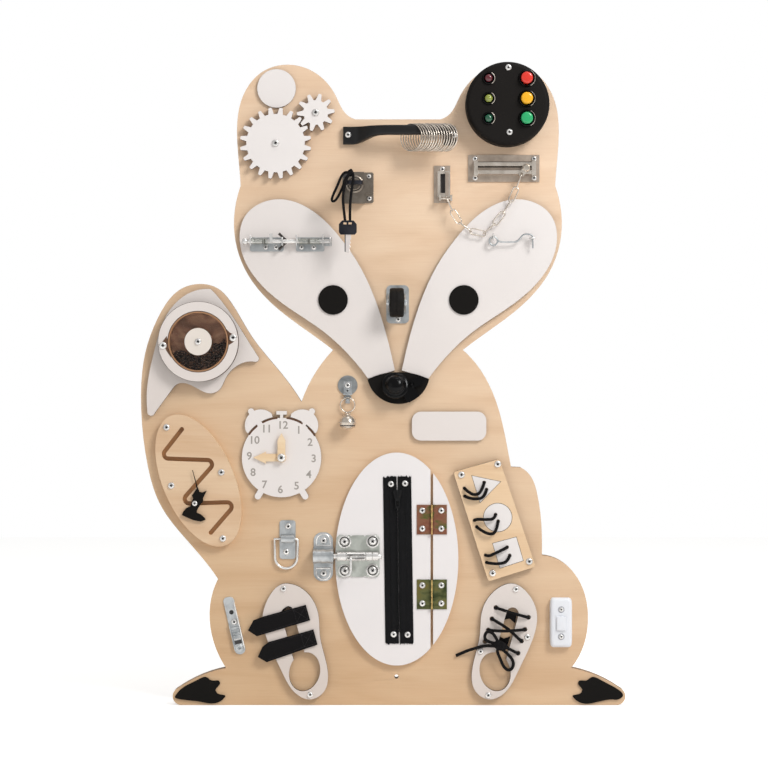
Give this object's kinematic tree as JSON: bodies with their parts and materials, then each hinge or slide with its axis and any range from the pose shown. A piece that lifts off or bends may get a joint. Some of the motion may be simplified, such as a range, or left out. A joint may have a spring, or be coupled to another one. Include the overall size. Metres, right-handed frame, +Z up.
{
  "type": "busy board",
  "caption": "Upright animal-shaped wooden activity board for a wall, with gears, locks, bolts, a door, laces, switches and other household fittings to work by hand.",
  "frame": {"origin": "on the flat back face, at the middle of the bottom edge", "axes": "+Z up, +X to the right of a person facing the board, -Y out of the front, +Y into the wall"},
  "size_m": [0.5328, 0.0586, 0.7049],
  "materials": {
    "plywood": "clear satin lacquer over birch veneer",
    "white_board": "white painted, satin",
    "black_board": "black painted, satin",
    "white_gear": "white painted, satin",
    "clock_white": "white painted, satin",
    "hand_wood": "bare veneer",
    "maze_birch": "clear satin lacquer, burnt groove",
    "cat_black": "black painted, satin",
    "lacing_birch": "clear satin lacquer",
    "shape_white": "white painted, satin",
    "lace_fabric": "braided round cord",
    "shoe_lace_fabric": "braided round cord",
    "strap_fabric": "hook and loop tape",
    "elastic_cord": "braided",
    "black_plastic": "moulded",
    "white_plastic": "moulded",
    "grey_cap": "moulded",
    "nickel": "bright nickel",
    "zinc": "zinc plated",
    "satin_steel": "satin nickel",
    "screws": "bright zinc",
    "red_plastic": "moulded",
    "amber_plastic": "moulded",
    "green_plastic": "moulded",
    "zip_tape": "woven tape",
    "drum_brown": "dark stained",
    "door_white": "white painted, satin",
    "chromate": "yellow chromate",
    "fixings": "bright zinc",
    "wheel_rubber": "black thermoplastic"
  },
  "bodies": {
    "board": {"back_board": "plywood", "white_plates": "white_board", "black_trim": "black_board", "clock_face": "clock_white", "maze_plate": "maze_birch", "lacing_plate": "lacing_birch", "ring_handle": "black_plastic", "lock_case": "nickel", "chain_plates": "nickel", "spring_bolt_brackets": "zinc", "caster_frame": "zinc", "bike_bell": "black_plastic", "zinc_plates": "zinc", "oval_fixed_leaf": "door_white", "hinge_leaves_fixed": "chromate", "door_bolt_keeper": "zinc", "shoe_lace": "shoe_lace_fabric", "switch_housing": "white_plastic", "panel_cap": "grey_cap", "board_fasteners": "screws", "drum_ring": "white_board"},
    "large_gear": {"gear_large": "white_gear"},
    "small_gear": {"gear_small": "white_gear"},
    "rings": {"key_rings": "nickel"},
    "key": {"lock_key": "satin_steel"},
    "pendant": {"key_cord": "elastic_cord", "spare_key": "satin_steel"},
    "carriage": {"chain_carriage": "nickel"},
    "left_chain": {"chain_left_run": "nickel"},
    "right_chain": {"chain_right_run": "nickel"},
    "hook": {"gate_hook": "zinc"},
    "patch_bolt": {"spring_bolt_rod": "zinc"},
    "wheel": {"caster_wheel": "wheel_rubber"},
    "thumb_lever": {"bell_lever": "black_plastic"},
    "hanging_bell": {"jingle_bell": "nickel"},
    "hours": {"hour_hand": "hand_wood"},
    "minutes": {"minute_hand": "hand_wood"},
    "cat": {"cat_slider": "cat_black"},
    "triangle": {"shape_triangle": "shape_white", "lace_triangle": "lace_fabric"},
    "circle": {"shape_circle": "shape_white", "lace_circle": "lace_fabric"},
    "square": {"shape_square": "shape_white", "lace_square": "lace_fabric"},
    "door": {"oval_door": "door_white", "hinge_leaves_door": "chromate", "door_bolt_base": "satin_steel", "zipper_tapes": "zip_tape", "door_fasteners": "fixings"},
    "door_bolt": {"door_bolt_rod": "satin_steel"},
    "zip": {"zipper_slider": "nickel"},
    "ring": {"d_ring": "zinc"},
    "latch": {"latch_slide": "zinc"},
    "top_strap": {"strap_upper": "strap_fabric"},
    "low_strap": {"strap_lower": "strap_fabric"},
    "switch": {"switch_button": "white_plastic"},
    "red_button": {"button_red": "red_plastic"},
    "amber_button": {"button_amber": "amber_plastic"},
    "green_button": {"button_green": "green_plastic"},
    "drum": {"seed_drum": "drum_brown"}
  },
  "joints": [
    {"name": "large_gear_spin", "type": "hinge", "parent": "board", "child": "large_gear", "pos_m": [-0.1354, -0.0225, 0.6172], "axis": [0, -1, 0], "continuous": true},
    {"name": "small_gear_spin", "type": "hinge", "parent": "board", "child": "small_gear", "pos_m": [-0.0914, -0.0225, 0.6509], "axis": [0, -1, 0], "continuous": true},
    {"name": "rings_slide", "type": "slide", "parent": "board", "child": "rings", "axis": [1, 0, 0], "range_m": [-0.02, 0]},
    {"name": "key_turn", "type": "hinge", "parent": "board", "child": "key", "pos_m": [-0.0486, -0.04, 0.572], "axis": [0, -1, 0], "range_deg": [-90, 0]},
    {"name": "pendant_swing", "type": "hinge", "parent": "board", "child": "pendant", "pos_m": [-0.052, -0.0573, 0.581], "axis": [0, -1, 0], "range_deg": [-30, 30]},
    {"name": "carriage_slide", "type": "slide", "parent": "board", "child": "carriage", "axis": [-1, 0, 0], "range_m": [0, 0.04]},
    {"name": "left_chain_swing", "type": "hinge", "parent": "board", "child": "left_chain", "pos_m": [0.0524, -0.0295, 0.556], "axis": [0, -1, 0], "range_deg": [-18, 1]},
    {"name": "right_chain_swing", "type": "hinge", "parent": "carriage", "child": "right_chain", "pos_m": [0.13417, -0.0295, 0.58296], "axis": [0, -1, 0], "range_deg": [-1, 22]},
    {"name": "hook_lift", "type": "hinge", "parent": "board", "child": "hook", "pos_m": [0.1034, -0.0305, 0.5095], "axis": [0, -1, 0], "range_deg": [0, 50]},
    {"name": "patch_bolt_slide", "type": "slide", "parent": "board", "child": "patch_bolt", "axis": [-1, 0, 0], "range_m": [0, 0.018]},
    {"name": "wheel_spin", "type": "hinge", "parent": "board", "child": "wheel", "pos_m": [-0.0026, -0.0395, 0.4418], "axis": [1, 0, 0], "continuous": true},
    {"name": "thumb_lever_push", "type": "hinge", "parent": "board", "child": "thumb_lever", "pos_m": [0.0138, -0.0283, 0.3528], "axis": [0, -1, 0], "range_deg": [0, 25], "stiffness_Nm_per_rad": 0.02, "springref_deg": -17.19},
    {"name": "bell_swing", "type": "hinge", "parent": "board", "child": "hanging_bell", "pos_m": [-0.0564, -0.022, 0.335], "axis": [0, -1, 0], "range_deg": [-45, 45]},
    {"name": "hour_turn", "type": "hinge", "parent": "board", "child": "hours", "pos_m": [-0.129, -0.0259, 0.2722], "axis": [0, 1, 0], "continuous": true},
    {"name": "minute_turn", "type": "hinge", "parent": "board", "child": "minutes", "pos_m": [-0.129, -0.0234, 0.2722], "axis": [0, 1, 0], "continuous": true},
    {"name": "cat_slide", "type": "slide", "parent": "board", "child": "cat", "axis": [0.9995, 0, 0.0312], "range_m": [-0.006, 0.028]},
    {"name": "triangle_lift", "type": "slide", "parent": "board", "child": "triangle", "axis": [0, -1, 0], "range_m": [0, 0.012]},
    {"name": "circle_lift", "type": "slide", "parent": "board", "child": "circle", "axis": [0, -1, 0], "range_m": [0, 0.012]},
    {"name": "square_lift", "type": "slide", "parent": "board", "child": "square", "axis": [0, -1, 0], "range_m": [0, 0.012]},
    {"name": "door_swing", "type": "hinge", "parent": "board", "child": "door", "pos_m": [0.036, -0.0262, 0.1609], "axis": [0, 0, 1], "range_deg": [0, 110]},
    {"name": "door_bolt_slide", "type": "slide", "parent": "door", "child": "door_bolt", "axis": [-1, 0, 0], "range_m": [-0.01, 0.012]},
    {"name": "zip_slide", "type": "slide", "parent": "door", "child": "zip", "axis": [0.0145, 0, -0.9999], "range_m": [0, 0.135]},
    {"name": "ring_lift", "type": "hinge", "parent": "board", "child": "ring", "pos_m": [-0.12395, -0.021, 0.1829], "axis": [-1, 0, 0], "range_deg": [0, 150]},
    {"name": "latch_slide_down", "type": "slide", "parent": "board", "child": "latch", "axis": [0.2266, 0, -0.974], "range_m": [0, 0.01]},
    {"name": "top_strap_peel", "type": "hinge", "parent": "board", "child": "top_strap", "pos_m": [-0.0999, -0.0255, 0.1023], "axis": [-0.2747, 0, 0.9615], "range_deg": [0, 100]},
    {"name": "low_strap_peel", "type": "hinge", "parent": "board", "child": "low_strap", "pos_m": [-0.0917, -0.0255, 0.0754], "axis": [-0.2562, 0, 0.9666], "range_deg": [0, 100]},
    {"name": "switch_press", "type": "slide", "parent": "board", "child": "switch", "axis": [0, 1, 0], "range_m": [0, 0.002], "stiffness_N_per_m": 400, "springref_m": -0.001},
    {"name": "red_press", "type": "slide", "parent": "board", "child": "red_button", "axis": [0, 1, 0], "range_m": [0, 0.0025], "stiffness_N_per_m": 400, "springref_m": -0.001},
    {"name": "amber_press", "type": "slide", "parent": "board", "child": "amber_button", "axis": [0, 1, 0], "range_m": [0, 0.0025], "stiffness_N_per_m": 400, "springref_m": -0.001},
    {"name": "green_press", "type": "slide", "parent": "board", "child": "green_button", "axis": [0, 1, 0], "range_m": [0, 0.0025], "stiffness_N_per_m": 400, "springref_m": -0.001},
    {"name": "drum_spin", "type": "hinge", "parent": "board", "child": "drum", "pos_m": [-0.2196, -0.03, 0.3993], "axis": [0, -1, 0], "continuous": true}
  ],
  "couplings": [
    {"joint": "small_gear_spin", "follows": "large_gear_spin", "ratio": -2},
    {"joint": "left_chain_swing", "follows": "carriage_slide", "rad_per_m": -7.8},
    {"joint": "right_chain_swing", "follows": "carriage_slide", "rad_per_m": 9.3}
  ]
}
